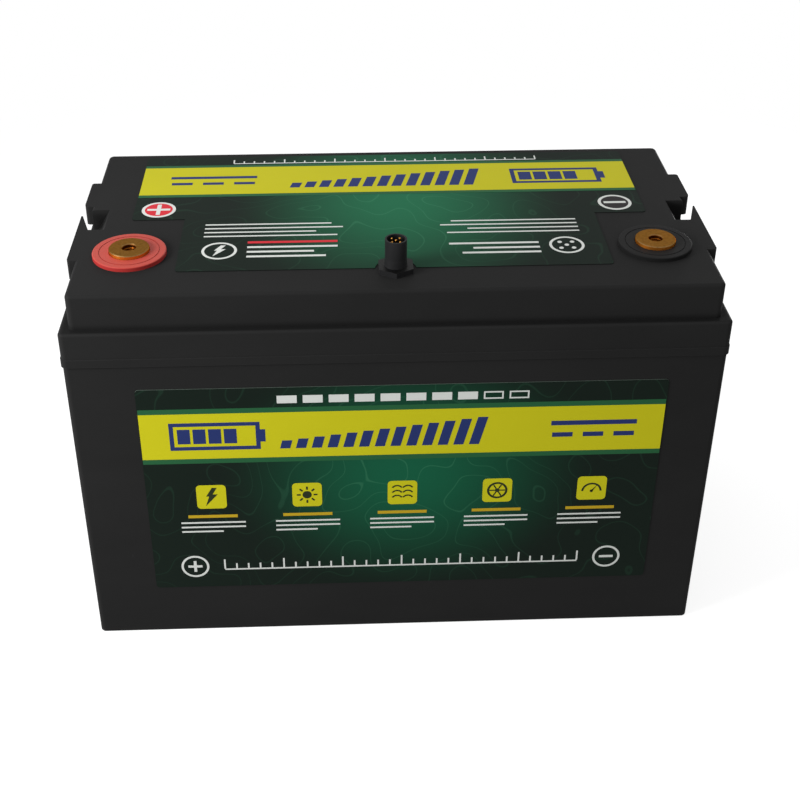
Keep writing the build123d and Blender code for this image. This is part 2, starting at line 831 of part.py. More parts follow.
with BuildPart() as bms_heatsink:
    with BuildSketch(Plane.XY.offset(sink_top - sink_height)):
        with Locations((0, power_stage_y)):
            Rectangle(sink_length, sink_depth)
    extrude(amount=sink_base)
    with BuildSketch(Plane.XY.offset(sink_top - sink_height)):
        with Locations((0, power_stage_y)):
            with GridLocations(0, (sink_depth - fin_thickness) / (fin_count - 1), 1, fin_count):
                Rectangle(sink_length, fin_thickness)
    extrude(amount=sink_height)
pieces["bms_heatsink"] = bms_heatsink

with BuildPart() as bms_shunts:
    with BuildSketch(Plane.XY.offset(board_top)):
        with Locations((shunt_x, shunt_y)):
            with GridLocations(shunt_pitch, 0, shunt_count, 1):
                Rectangle(shunt[0], shunt[1])
    extrude(amount=shunt[2])
    with BuildSketch(Plane.XY.offset(board_top)):
        with Locations((shunt_x, shunt_y)):
            with GridLocations(shunt_pitch, 0, shunt_count, 1):
                Rectangle(shunt[0], shunt[1] - 2 * shunt_wire)
    extrude(amount=shunt[2] - shunt_wire, mode=Mode.SUBTRACT)
pieces["bms_shunts"] = bms_shunts

with BuildPart() as bms_screws:
    with BuildSketch(Plane.XY.offset(tray_top)):
        with Locations(*board_screws):
            Circle(screw_radius)
    extrude(amount=standoff_height + board_thickness)
    with BuildSketch(Plane.XY.offset(board_top)):
        with Locations(*board_screws):
            Circle(screw_head_radius)
    extrude(amount=screw_head_height)
pieces["bms_screws"] = bms_screws

with BuildPart() as power_bolts:
    with BuildSketch(Plane.XY.offset(tray_top)):
        with Locations(*power_pads):
            Circle(stud_radius)
    extrude(amount=board_top + lug_plate - tray_top)
    with BuildSketch(Plane.XY.offset(board_top + lug_plate)):
        with Locations(*power_pads):
            RegularPolygon(nut_across / 2, 6, major_radius=False)
    extrude(amount=power_head_height)
pieces["power_bolts"] = power_bolts

comms_board_z = board_top + comms_spacer[2]
comms_board_front = comms_board_y - comms_board_depth / 2
comms_board_back = comms_board_y + comms_board_depth / 2
comms_plug_z = comms_board_z + board_thickness
with BuildPart() as comms_board:
    with BuildSketch(Plane.XY.offset(board_top)):
        with Locations((0, comms_board_back - comms_spacer[1] / 2)):
            Rectangle(comms_spacer[0], comms_spacer[1])
    extrude(amount=comms_spacer[2])
    with BuildSketch(Plane.XY.offset(comms_board_z)):
        with Locations((0, comms_board_y)):
            Rectangle(comms_board_length, comms_board_depth)
    extrude(amount=board_thickness)
    with BuildSketch(Plane.XY.offset(comms_plug_z)):
        with Locations((0, comms_board_front + comms_plug[1] / 2)):
            Rectangle(comms_plug[0], comms_plug[1])
    extrude(amount=comms_plug[2])
pieces["comms_board"] = comms_board


# ---------------------------------------------------------------- cables

def cable_lug(eye_radius, hole_radius):
    """Crimp lug with its eye at the origin on z = 0 and its barrel along +X."""
    with BuildPart() as lug:
        with BuildSketch(Plane.XY):
            Circle(eye_radius)
            with Locations((eye_radius / 2, 0)):
                Rectangle(eye_radius + 2 * lug_plate, 2 * lug_barrel_radius)
            Circle(hole_radius, mode=Mode.SUBTRACT)
        extrude(amount=lug_plate)
        with BuildSketch(Plane.YZ.offset(eye_radius)):
            with Locations((0, lug_barrel_radius)):
                Circle(lug_barrel_radius)
        extrude(amount=lug_barrel_length)
        with BuildSketch(Plane.YZ.offset(eye_radius + lug_barrel_length - lug_insertion)):
            with Locations((0, lug_barrel_radius)):
                Circle(cable_radius + fit_clearance)
        extrude(amount=lug_insertion, mode=Mode.SUBTRACT)
    return lug.part


stud_lug = cable_lug(stud_eye_radius, stud_radius + stud_hole_clearance)
terminal_lug = cable_lug(terminal_eye_radius, shank_radius + hole_clearance)
with BuildPart() as cable_lugs:
    add(stud_lug.moved(Location((*positive_posts[0], post_top), (0, 0, 180))))
    add(stud_lug.moved(Location((*negative_posts[-1], post_top))))
    for place in power_pads:
        add(stud_lug.moved(Location((*place, board_top))))
    for place in terminals.values():
        add(terminal_lug.moved(Location((*place, boss_z), (180, 0, 90))))
pieces["cable_lugs"] = cable_lugs


def bends_in_room(points, bends):
    """The wanted bend radii, each limited by the runs it joins: half of an inner run, most of an end run."""
    places = [Vector(*point) for point in points]
    runs = [after - before for before, after in zip(places, places[1:])]
    shares = [end_run_share] + [0.5] * (len(runs) - 2) + [end_run_share]
    room = [run.length * share for run, share in zip(runs, shares)]
    half_turns = [radians(before.get_angle(after) / 2) for before, after in zip(runs, runs[1:])]
    return [
        min(bend, min(room[i], room[i + 1]) / tan(half_turns[i]))
        for i, bend in enumerate(bends)
    ]


def cable_along(points, bends, radius):
    """Round cable along straight runs joined by arcs."""
    bends = bends_in_room(points, bends)
    with BuildPart() as cable:
        with BuildLine() as route:
            FilletPolyline(*points, radius=bends)
        path = route.wire()
        with BuildSketch(Plane(origin=path @ 0, z_dir=path % 0)):
            Circle(radius)
        sweep(path=path)
    radii = [round(bend, 1) for bend in bends]
    print("cable bend radii", radii, "cable diameter", 2 * radius, "length", round(path.length, 1))
    return cable


cable_start = lug_barrel_length - lug_insertion
terminal_cable_y = terminal_y + terminal_eye_radius + cable_start
post_cable_x = stud_eye_radius + cable_start
positive_route = (
    (-terminal_x, terminal_cable_y, barrel_under_boss),
    (-terminal_x, cable_turn_y, barrel_under_boss),
    (-terminal_x, cable_turn_y, barrel_above_posts),
    (-terminal_x, positive_posts[0][1], barrel_above_posts),
    (positive_posts[0][0] - post_cable_x, positive_posts[0][1], barrel_above_posts),
)
pieces["positive_cable"] = cable_along(positive_route, positive_cable_bends, cable_radius)

cell_pad, load_pad = power_pads
cell_return_route = (
    (negative_posts[-1][0] + post_cable_x, negative_posts[-1][1], barrel_above_posts),
    (terminal_x, negative_posts[-1][1], barrel_above_posts),
    (terminal_x, cell_pad[1], barrel_above_board),
    (cell_pad[0] + post_cable_x, cell_pad[1], barrel_above_board),
)
load_return_route = (
    (load_pad[0] + post_cable_x, load_pad[1], barrel_above_board),
    (terminal_x, load_pad[1], barrel_above_board),
    (terminal_x, load_pad[1], barrel_under_boss),
    (terminal_x, terminal_cable_y, barrel_under_boss),
)
cell_return_cable = cable_along(cell_return_route, cable_bends, cable_radius)
load_return_cable = cable_along(load_return_route, cable_bends, cable_radius)
with BuildPart() as negative_cables:
    add(cell_return_cable.part)
    add(load_return_cable.part)
pieces["negative_cables"] = negative_cables

comms_cable_z = comms_plug_z + comms_plug[2] / 2
comms_route = (
    (0, connector_y, stem_z),
    (0, connector_y, comms_cable_z),
    (0, comms_board_front, comms_cable_z),
)
pieces["comms_cable"] = cable_along(comms_route, (comms_cable_bend,), comms_cable_radius)

balance_low = circuit_top + circuit_header[2] / 2
balance_high = board_top + board_header[2] / 2
balance_turn_x = (circuit_end - terminal_x + cable_radius) / 2
balance_route = (
    (circuit_end, 0, balance_low),
    (balance_turn_x, 0, balance_low),
    (balance_turn_x, 0, balance_high),
    (-board_length / 2, 0, balance_high),
)
balance_bends = (balance_cable_bend, balance_cable_bend)
pieces["balance_cable"] = cable_along(balance_route, balance_bends, balance_cable_radius)


# ---------------------------------------------------------------- export

os.makedirs("parts", exist_ok=True)
for name, piece in pieces.items():
    piece.part.label = name
    export_step(piece.part, f"parts/{name}.step")
print(len(pieces), "pieces")
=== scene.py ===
import json
from math import cos, pi, radians, sin

import bmesh
import bpy
from mathutils import Matrix, Vector


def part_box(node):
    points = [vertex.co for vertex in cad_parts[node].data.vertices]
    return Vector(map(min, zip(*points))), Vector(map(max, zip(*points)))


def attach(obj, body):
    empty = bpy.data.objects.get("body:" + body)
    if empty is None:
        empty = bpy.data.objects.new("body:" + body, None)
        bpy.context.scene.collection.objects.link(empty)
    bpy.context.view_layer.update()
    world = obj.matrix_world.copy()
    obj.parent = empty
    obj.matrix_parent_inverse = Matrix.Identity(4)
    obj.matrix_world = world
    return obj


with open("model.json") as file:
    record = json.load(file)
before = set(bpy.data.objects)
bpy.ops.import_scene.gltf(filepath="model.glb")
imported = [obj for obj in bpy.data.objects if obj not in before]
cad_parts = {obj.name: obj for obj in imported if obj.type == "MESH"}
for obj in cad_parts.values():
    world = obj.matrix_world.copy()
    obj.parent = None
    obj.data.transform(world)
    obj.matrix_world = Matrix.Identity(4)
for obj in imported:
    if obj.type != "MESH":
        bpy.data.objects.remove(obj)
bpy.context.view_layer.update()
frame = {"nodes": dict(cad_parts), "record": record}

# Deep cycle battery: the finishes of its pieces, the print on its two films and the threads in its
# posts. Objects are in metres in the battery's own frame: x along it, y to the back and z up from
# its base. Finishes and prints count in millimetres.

MM = 0.001


# ---------------------------------------------------------------- places taken from the part

def box_mm(node):
    """Lowest and highest corner of a node, in millimetres."""
    low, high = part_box(node)
    return low / MM, high / MM


def middle_of(node):
    """Middle of a node's box, in millimetres."""
    low, high = box_mm(node)
    return (low + high) / 2


mounts = {mount["name"]: mount for mount in frame["record"]["mounts"]}
lid_high = box_mm("lid")[1]
front_low, front_high = box_mm("front_label")
top_low, top_high = box_mm("top_label")
shell_high = box_mm("connector_shell")[1]
ledge_z = mounts["hold_down_ledge_front"]["pos_m"][2] / MM
deck_z = top_low.z


# ---------------------------------------------------------------- node writing

def tint(red, green, blue):
    """Screen colour, 0 to 255 a channel, as the linear colour that a shader takes."""
    channels = [value / 255 for value in (red, green, blue)]
    linear = [c / 12.92 if c <= 0.04045 else ((c + 0.055) / 1.055) ** 2.4 for c in channels]
    return (*linear, 1.0)


class Shade:
    """A value that varies over a surface. Arithmetic on it adds Math nodes."""

    def __init__(self, nodes, socket):
        self.nodes = nodes
        self.socket = socket

    def maths(self, operation, *values):
        """One Math node on these values."""
        return self.nodes.add("ShaderNodeMath", {"operation": operation}, dict(enumerate(values)))

    def output(self, name):
        """Another output of the node that this value comes from."""
        return Shade(self.nodes, self.socket.node.outputs[name])

    def __add__(self, other):
        return self.maths("ADD", self, other)

    def __radd__(self, other):
        return self.maths("ADD", other, self)

    def __sub__(self, other):
        return self.maths("SUBTRACT", self, other)

    def __rsub__(self, other):
        return self.maths("SUBTRACT", other, self)

    def __mul__(self, other):
        return self.maths("MULTIPLY", self, other)

    def __rmul__(self, other):
        return self.maths("MULTIPLY", other, self)

    def __truediv__(self, other):
        return self.maths("DIVIDE", self, other)

    def __pow__(self, other):
        return self.maths("POWER", self, other)

    def __abs__(self):
        return self.maths("ABSOLUTE", self)

    def most(self, other):
        """The larger of the two values at each point."""
        return self.maths("MAXIMUM", self, other)

    def wave(self):
        """Sine of the value, from -1 to 1."""
        return self.maths("SINE", self)

    def fade(self, start, end):
        """0 at start and 1 at end, smooth between them."""
        sockets = {0: self, 1: start, 2: end}
        return self.nodes.add("ShaderNodeMapRange", {"interpolation_type": "SMOOTHSTEP"}, sockets)


# Places of the colour sockets in a Mix node, which shares their names with other kinds of data.
COLOUR_BELOW = 6
COLOUR_ABOVE = 7
MIXED_COLOUR = 2


class Nodes:
    """Writes the nodes of one node tree."""

    def __init__(self, tree):
        self.tree = tree

    def add(self, kind, settings=None, sockets=None, output=0):
        """Adds a node, sets and links it, and gives the value of one of its outputs."""
        node = self.tree.nodes.new(kind)
        for name, value in (settings or {}).items():
            setattr(node, name, value)
        for name, value in (sockets or {}).items():
            if isinstance(value, Shade):
                self.tree.links.new(value.socket, node.inputs[name])
            else:
                node.inputs[name].default_value = value
        return Shade(self, node.outputs[output])

    def mix(self, mask, below, above):
        """Colour below where the mask is 0, above where it is 1."""
        settings = {"data_type": "RGBA", "clamp_factor": True}
        sockets = {0: mask, COLOUR_BELOW: below, COLOUR_ABOVE: above}
        return self.add("ShaderNodeMix", settings, sockets, MIXED_COLOUR)


class Finish(Nodes):
    """One procedural finish. Its places are in millimetres in the part's frame."""

    def __init__(self, name, **constants):
        self.material = bpy.data.materials.new(name)
        self.material.use_nodes = True
        super().__init__(self.material.node_tree)
        self.shader = self.tree.nodes["Principled BSDF"]
        for socket, value in constants.items():
            self.shader.inputs[socket.replace("_", " ")].default_value = value
        place = self.add("ShaderNodeTexCoord", output="Object")
        in_millimetres = {0: place, "Scale": 1 / MM}
        self.point = self.add("ShaderNodeVectorMath", {"operation": "SCALE"}, in_millimetres)
        self.x = self.add("ShaderNodeSeparateXYZ", {}, {0: self.point})
        self.y = self.x.output("Y")
        self.z = self.x.output("Z")

    def noise(self, size, detail=2.0, stretch=(1, 1, 1)):
        """Soft noise from 0 to 1 whose blotches are about size millimetres across."""
        sockets = {0: self.point, 1: stretch}
        point = self.add("ShaderNodeVectorMath", {"operation": "MULTIPLY"}, sockets)
        sockets = {"Vector": point, "Scale": 1 / size, "Detail": detail}
        return self.add("ShaderNodeTexNoise", {}, sockets)

    def cells(self, size, feature="F1", randomness=1.0):
        """Distance in a cell pattern of that size, from 0."""
        sockets = {"Vector": self.point, "Scale": 1 / size, "Randomness": randomness}
        return self.add("ShaderNodeTexVoronoi", {"feature": feature}, sockets)

    def facing(self, axis):
        """How squarely a face looks along X, Y or Z, from -1 to 1."""
        normal = self.add("ShaderNodeNewGeometry", output="Normal")
        return self.add("ShaderNodeSeparateXYZ", {}, {0: normal}, axis)

    def edges(self, radius):
        """1 along sharp edges and 0 on flat faces."""
        rounded = self.add("ShaderNodeBevel", {"samples": 6}, {"Radius": radius * MM})
        flat = self.add("ShaderNodeNewGeometry", output="Normal")
        sockets = {0: rounded, 1: flat}
        agreement = self.add("ShaderNodeVectorMath", {"operation": "DOT_PRODUCT"}, sockets, "Value")
        return (1 - agreement).fade(0.02, 0.25)

    def paint(self, colour, roughness, relief, depth):
        """Links what varies: colour, roughness and a relief of that depth in millimetres."""
        bump = {"Height": relief, "Distance": depth * MM, "Strength": 1.0}
        normal = self.add("ShaderNodeBump", {}, bump)
        varying = {"Base Color": colour, "Roughness": roughness, "Normal": normal}
        for name, shade in varying.items():
            self.tree.links.new(shade.socket, self.shader.inputs[name])
        return self.material


# ---------------------------------------------------------------- finishes of the outside

# The deck's end and side walls stand back this far from the lid's widest line.
DECK_END_STEP = 5.4
DECK_SIDE_STEP = 4.4
# The finger pocket in each end of the deck, measured along y.
POCKET_MIDDLE = -0.7
POCKET_WIDTH = 23.2
# The shade at the foot of the deck is full this far out over the ledge, and it ends this far out
# and this far up the wall.
FOOT_FULL_OUT = 2.0
FOOT_END_OUT = 3.7
FOOT_END_UP = 3.6
# The painted shade in the pockets deepens between these depths below the deck.
POCKET_SHADE_START = 0.6
POCKET_SHADE_END = 4.0


def painted_foot_shade(case):
    """Painted shade: 1 in the corner where the deck stands on its ledge, fading up the wall and
    outwards.
    """
    past_end = abs(case.x) - (lid_high.x - DECK_END_STEP)
    past_side = abs(case.y) - (lid_high.y - DECK_SIDE_STEP)
    near_wall = past_end.most(past_side).fade(FOOT_END_OUT, FOOT_FULL_OUT)
    low_on_wall = case.z.fade(ledge_z + FOOT_END_UP, ledge_z)
    above_skirt = case.z.fade(ledge_z - 0.4, ledge_z - 0.1)
    return near_wall * (low_on_wall * above_skirt)


def painted_pocket_shade(case):
    """Painted shade: 1 deep in the finger pockets at both ends of the deck, 0 at their upper edge.
    """
    deck_end = lid_high.x - DECK_END_STEP
    half = POCKET_WIDTH / 2
    behind_end = abs(case.x).fade(deck_end - 0.1, deck_end - 0.3)
    between_sides = abs(case.y - POCKET_MIDDLE).fade(half + 0.4, half + 0.2)
    below_deck = case.z.fade(deck_z - POCKET_SHADE_START, deck_z - POCKET_SHADE_END)
    return behind_end * between_sides * below_deck


def case_plastic(name):
    """Moulded black plastic: spark texture, flow marks, scuffs, edges paler from wear and a painted
    highlight, and painted shade at the foot of the deck and in its pockets.
    """
    case = Finish(name, Specular_IOR_Level=0.015)
    grain = case.noise(0.45, detail=3.0)
    flow = case.noise(55.0, stretch=(1, 1, 2.2))
    worn_edges_and_highlight = case.edges(0.7)
    scratches = case.noise(1.6, detail=4.0, stretch=(1, 0.18, 0.4)).fade(0.66, 0.78)
    scuffs = scratches * case.noise(30.0).fade(0.55, 0.7)
    colour = case.mix(flow, tint(34, 34, 34), tint(39, 39, 39))
    colour = case.mix(scuffs * 0.25, colour, tint(60, 60, 60))
    # Edges paler: partly wear, partly a painted highlight.
    colour = case.mix(worn_edges_and_highlight * 0.4, colour, tint(56, 56, 56))
    # Painted shade in the corner at the foot of the deck.
    colour = case.mix(painted_foot_shade(case), colour, tint(29, 29, 29))
    # Painted shade deep in the finger pockets.
    colour = case.mix(painted_pocket_shade(case) * 0.5, colour, tint(20, 20, 20))
    roughness = 0.5 + 0.1 * grain - 0.1 * worn_edges_and_highlight - 0.05 * flow
    return case.paint(colour, roughness, grain, depth=0.035)


def terminal_brass(name):
    """Turned brass: fine lathe rings, with painted light that makes the top darker and duller and
    the side brighter, and painted shade in the hole.
    """
    brass = Finish(name, Metallic=1.0, Specular_Tint=tint(205, 150, 90))
    post = middle_of("positive_terminal")
    hole = mounts["terminal_positive"]["dims"]["r_mm"]
    across = abs(brass.x) - abs(post.x)
    along = brass.y - post.y
    radius = (across * across + along * along) ** 0.5
    inside = radius.fade(hole + 0.35, hole)
    rings = (radius * 42.0).wave() * 0.5 + 0.5
    mottle = brass.noise(1.3, detail=3.0).fade(0.3, 0.8)
    lit_side_colour = brass.mix(mottle, tint(206, 128, 44), tint(180, 104, 34))
    shaded_top_colour = brass.mix(mottle, tint(128, 100, 62), tint(112, 86, 50))
    # Painted light: sides brighter and oranger, top darker and duller.
    colour = brass.mix(brass.facing("Z").fade(0.3, 0.75), lit_side_colour, shaded_top_colour)
    colour = brass.mix(brass.edges(0.25) * 0.2, colour, tint(176, 124, 40))
    # Painted shade down inside the hole.
    colour = brass.mix(inside, colour, tint(104, 54, 13))
    roughness = 0.36 + 0.1 * mottle + 0.06 * rings
    return brass.paint(colour, roughness, rings, depth=0.006)


def ring_plastic(name, shade, painted_lit_colour, specular):
    """Moulded plastic with a fine grain, paler on top as painted light, and paler along its edges
    from wear and a painted highlight.
    """
    ring = Finish(name, Specular_IOR_Level=specular)
    grain = ring.noise(0.35, detail=3.0)
    cloud = ring.noise(7.0)
    top = ring.facing("Z").fade(0.4, 0.9)
    # Painted light: tops paler, as if lit from above.
    colour = ring.mix(top * (0.8 + 0.2 * cloud), shade, painted_lit_colour)
    # Edges paler: partly wear, partly a painted highlight.
    colour = ring.mix(ring.edges(0.25) * 0.15, colour, painted_lit_colour)
    return ring.paint(colour, 0.42 + 0.1 * grain, grain, depth=0.02)


def connector_plastic(name):
    """Moulded nylon: satin black, cloudy, with worn edges, and painted shade on its up-facing
    faces, darkest in the socket inside its rim.
    """
    nylon = Finish(name, Specular_IOR_Level=0.14)
    grain = nylon.noise(0.25, detail=3.0)
    colour = nylon.mix(nylon.noise(2.5), tint(23, 23, 24), tint(29, 29, 30))
    colour = nylon.mix(nylon.edges(0.25) * 0.2, colour, tint(62, 62, 66))
    # Painted shade: up-facing faces darker, darkest more than 1.5 mm below the top of the shell.
    at_rim = nylon.z.fade(shell_high.z - 1.5, shell_high.z - 0.5)
    painted_socket_shade = nylon.mix(at_rim, tint(8, 8, 8), tint(15, 15, 16))
    colour = nylon.mix(nylon.facing("Z").fade(0.4, 0.9), colour, painted_socket_shade)
    return nylon.paint(colour, 0.44 + 0.1 * grain, grain, depth=0.015)


def contact_gold(name):
    """Gold plated pins with drawn lines along them."""
    gold = Finish(name, Metallic=1.0)
    lines = gold.noise(0.12, stretch=(1, 1, 0.05))
    colour = gold.mix(lines, tint(196, 146, 70), tint(160, 108, 42))
    return gold.paint(colour, 0.25 + 0.15 * lines, lines, depth=0.004)


def film_ground(name, face, rise, glow, place, reach, cut_edge):
    """Printed vinyl that looks along face and rises along rise: dark green with a soft glow round
    its place, faint contour lines, and cut edges whose colour carries painted light."""
    film = Finish(name, Specular_IOR_Level=0.03)
    across = (film.x - place[0]) / reach[0]
    up = ((film.y if rise == "Y" else film.z) - place[1]) / reach[1]
    glowing = (1 - (across * across + up * up) ** 0.5).most(0.0).fade(0.0, 1.0)
    contours = (film.noise(45.0, detail=1.0) * 62.0).wave().fade(0.965, 1.0)
    speckle = film.noise(0.3)
    colour = film.mix(glowing, tint(21, 30, 25), glow)
    colour = film.mix(contours * (0.03 + 0.09 * glowing), colour, tint(96, 170, 130))
    # Cut edges in their own colour, which paints a highlight on the front film and a shadow on the
    # top film.
    colour = film.mix(abs(film.facing(face)).fade(0.9, 0.4), colour, cut_edge)
    return film.paint(colour, 0.45 + 0.08 * speckle, speckle, depth=0.004)


def ink(name, shade, thin):
    """Screen printed ink, a little uneven, as ink lies on vinyl."""
    printed = Finish(name, Specular_IOR_Level=0.05)
    speckle = printed.noise(0.35)
    cloud = printed.noise(16.0)
    colour = printed.mix(0.35 * speckle + 0.35 * cloud, shade, thin)
    return printed.paint(colour, 0.42 + 0.1 * speckle, speckle, depth=0.004)


# ---------------------------------------------------------------- finishes of the inside

def smooth_metal(name, bright, dull, roughness, stretch):
    """Drawn, rolled or machined metal with its working lines and dull patches."""
    metal = Finish(name, Metallic=1.0)
    lines = metal.noise(0.5, detail=3.0, stretch=stretch)
    patches = metal.noise(14.0, detail=3.0).fade(0.3, 0.75)
    colour = metal.mix(patches * 0.6 + lines * 0.3, bright, dull)
    colour = metal.mix(metal.edges(0.3) * 0.4, colour, bright)
    roughness = roughness + 0.14 * lines + 0.08 * patches
    return metal.paint(colour, roughness, lines, depth=0.008)


def plated_steel(name):
    """Zinc plating: faint spangle and a slightly yellow passivation."""
    zinc = Finish(name, Metallic=1.0)
    spangle = zinc.cells(1.8)
    tone = zinc.noise(4.0, detail=3.0)
    colour = zinc.mix(tone, tint(186, 188, 190), tint(160, 158, 146))
    return zinc.paint(colour, 0.3 + 0.18 * spangle, spangle, depth=0.008)


def closed_foam(name):
    """Closed cell foam: small bubbles and a skin that varies in tone."""
    foam = Finish(name, Specular_IOR_Level=0.2)
    bubbles = foam.cells(0.9)
    tone = foam.noise(9.0, detail=3.0)
    colour = foam.mix(tone, tint(78, 78, 80), tint(100, 100, 102))
    colour = foam.mix(bubbles.fade(0.5, 0.1) * 0.35, colour, tint(48, 48, 50))
    return foam.paint(colour, 0.9 - 0.1 * bubbles, bubbles, depth=0.25)


def soft_rubber(name, shade, worn):
    """Rubber or silicone: matt, with a fine bloom."""
    rubber = Finish(name, Specular_IOR_Level=0.35)
    bloom = rubber.noise(2.2, detail=4.0)
    grain = rubber.noise(0.2)
    colour = rubber.mix(bloom * 0.6, shade, worn)
    return rubber.paint(colour, 0.62 + 0.14 * grain, grain, depth=0.02)


def electrode_stack(name):
    """Wound foils seen edge on, under their wrapping film."""
    foils = Finish(name, Metallic=0.35)
    layers = (foils.x * 9.0).wave() * 0.5 + 0.5
    wrinkles = foils.noise(6.0, detail=3.0, stretch=(1, 1, 0.3))
    colour = foils.mix(layers, tint(44, 44, 48), tint(96, 92, 92))
    return foils.paint(colour, 0.4 + 0.2 * wrinkles, wrinkles + 0.2 * layers, depth=0.12)


def insulating_sheet(name):
    """White moulded or sheet plastic, a little cloudy, with a fine grain."""
    sheet = Finish(name, Specular_IOR_Level=0.4)
    grain = sheet.noise(0.6, detail=3.0)
    colour = sheet.mix(sheet.noise(18.0), tint(226, 226, 220), tint(208, 208, 200))
    return sheet.paint(colour, 0.5 + 0.12 * grain, grain, depth=0.02)


def solder_mask(name):
    """Green circuit board: tracks raised under the mask, and vias."""
    board = Finish(name, Specular_IOR_Level=0.5)
    tracks = board.cells(3.2, "DISTANCE_TO_EDGE", 0.35).fade(0.16, 0.1)
    vias = board.cells(4.6, "F1", 0.6).fade(0.13, 0.1)
    colour = board.mix(tracks, tint(14, 78, 40), tint(28, 112, 58))
    colour = board.mix(vias, colour, tint(186, 160, 90))
    return board.paint(colour, 0.35 + 0.1 * board.noise(0.4), tracks + vias, depth=0.03)


def flex_film(name):
    """Amber polyimide film with copper tracks showing through."""
    film = Finish(name, Specular_IOR_Level=0.5)
    tracks = (film.y * 2.4).wave().fade(0.1, 0.35)
    colour = film.mix(tracks, tint(186, 116, 32), tint(214, 140, 66))
    colour = film.mix(film.noise(8.0, detail=3.0) * 0.3, colour, tint(150, 84, 20))
    return film.paint(colour, 0.3 + 0.1 * film.noise(0.5), tracks, depth=0.03)


# Each of these is a shade and a second one: for the plastics that ring_plastic takes, the paler
# painted light of their tops and edges; for the others, the shade that it wears or dulls to.
RED_RING = (tint(150, 42, 40), tint(176, 72, 62))
BLACK_RING = (tint(28, 28, 28), tint(37, 37, 37))
BLACK_PLASTIC = (tint(30, 30, 31), tint(46, 46, 48))
ALUMINIUM = (tint(205, 207, 210), tint(176, 178, 182))
COPPER = (tint(214, 138, 104), tint(168, 92, 62))
CABLE_RED = (tint(178, 30, 26), tint(202, 62, 54))
CABLE_BLACK = (tint(26, 26, 26), tint(46, 46, 46))
INSULATOR_BLACK = (tint(14, 14, 15), tint(22, 22, 23))
GLUE = (tint(54, 52, 50), tint(76, 74, 70))
GASKET_RUBBER = (tint(28, 28, 28), tint(52, 52, 52))

front_middle = middle_of("front_label")
top_middle = middle_of("top_label")
front_film = {
    "face": "Y",
    "rise": "Z",
    "glow": tint(23, 88, 62),
    "place": (front_middle.x + 3, front_middle.z + 10),
    "reach": (101, 84),
    # Pale cut edge: partly the pale vinyl core, partly a painted highlight.
    "cut_edge": tint(92, 104, 96),
}
top_film = {
    "face": "Z",
    "rise": "Y",
    "glow": tint(33, 102, 71),
    "place": (top_middle.x + 6, top_middle.y + 10),
    "reach": (95, 119),
    # Dark cut edge: painted shadow along the film's edge.
    "cut_edge": tint(16, 18, 17),
}

finishes = {
    "case_black": case_plastic,
    "adhesive": lambda name: soft_rubber(name, *GLUE),
    "brass": terminal_brass,
    "ring_red": lambda name: ring_plastic(name, *RED_RING, specular=0.12),
    "ring_black": lambda name: ring_plastic(name, *BLACK_RING, specular=0.02),
    "gasket_rubber": lambda name: soft_rubber(name, *GASKET_RUBBER),
    "plated_steel": plated_steel,
    "connector_black": connector_plastic,
    "insulator_black": lambda name: ring_plastic(name, *INSULATOR_BLACK, specular=0.2),
    "contact_gold": contact_gold,
    "front_print": lambda name: film_ground(name, **front_film),
    "top_print": lambda name: film_ground(name, **top_film),
    "foam_grey": closed_foam,
    "cell_aluminium": lambda name: smooth_metal(name, *ALUMINIUM, 0.3, stretch=(1, 1, 0.06)),
    "electrode_stack": electrode_stack,
    "post_aluminium": lambda name: smooth_metal(name, *ALUMINIUM, 0.25, stretch=(1, 1, 6)),
    "copper": lambda name: smooth_metal(name, *COPPER, 0.28, stretch=(0.1, 1, 1)),
    "sheet_white": insulating_sheet,
    "circuit_green": solder_mask,
    "circuit_amber": flex_film,
    "component_black": lambda name: ring_plastic(name, *BLACK_PLASTIC, specular=0.4),
    "cable_red": lambda name: soft_rubber(name, *CABLE_RED),
    "cable_black": lambda name: soft_rubber(name, *CABLE_BLACK),
}
materials = {slot: make(slot) for slot, make in finishes.items()}
slot_of = {row["node"]: row["material_slot"] for row in frame["record"]["subparts"]}
for node, part in frame["nodes"].items():
    for material_slot in part.material_slots:
        material_slot.material = materials[slot_of[node]]


# ---------------------------------------------------------------- new pieces

def add_piece(name, shape, material):
    """Makes an object of a shape drawn in millimetres, and lets it ride on the battery."""
    shape.transform(Matrix.Scale(MM, 4))
    bmesh.ops.recalc_face_normals(shape, faces=shape.faces)
    mesh = bpy.data.meshes.new(name)
    shape.to_mesh(mesh)
    shape.free()
    piece = bpy.data.objects.new(name, mesh)
    bpy.context.scene.collection.objects.link(piece)
    piece.data.materials.append(material)
    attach(piece, "root")


# Each layer of ink sinks a little into what it lies on, so that no gap shows.
INK_THICKNESS = 0.05
INK_SINK = 0.01
# Degrees between the corners of a curve, the fewest steps of an arc, and the steps of a rounded
# corner.
ARC_STEP = 7.5
FEWEST_ARC_STEPS = 6
CORNER_STEPS = 5


